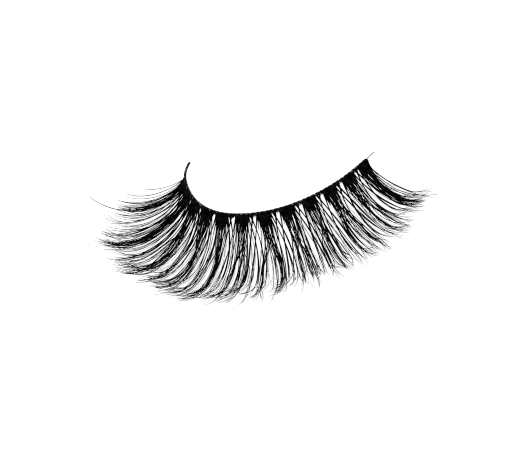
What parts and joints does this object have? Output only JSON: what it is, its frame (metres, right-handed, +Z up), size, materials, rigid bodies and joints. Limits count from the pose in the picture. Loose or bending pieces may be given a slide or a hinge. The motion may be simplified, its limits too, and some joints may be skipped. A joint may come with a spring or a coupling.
{
  "type": "false eyelash strip",
  "caption": "Strip of false eyelashes: a thin curved black band with fans of long curled black hair, a bare outer end and a clear thread at the inner corner.",
  "frame": {"origin": "centre of the bounding box at the surface that the strip lies on", "axes": "+X from the outer corner to the inner corner along the strip's chord; -Y the way the hair points, +Y to the eye; +Z up, the way the hair curls"},
  "size_m": [0.042, 0.0264, 0.0034],
  "materials": {
    "black_hair": "satin black synthetic hair, fine tapered strands",
    "black_thread": "black double thread with fine knots, faint grey sheen",
    "clear_thread": "clear smooth nylon thread"
  },
  "bodies": {
    "root": {"band": "black_thread", "thread_end": "clear_thread", "fan_01": "black_hair", "fan_02": "black_hair", "fan_03": "black_hair", "fan_04": "black_hair", "fan_05": "black_hair", "fan_06": "black_hair", "fan_07": "black_hair", "fan_08": "black_hair", "fan_09": "black_hair", "fan_10": "black_hair", "fan_11": "black_hair", "fan_12": "black_hair"}
  },
  "joints": []
}
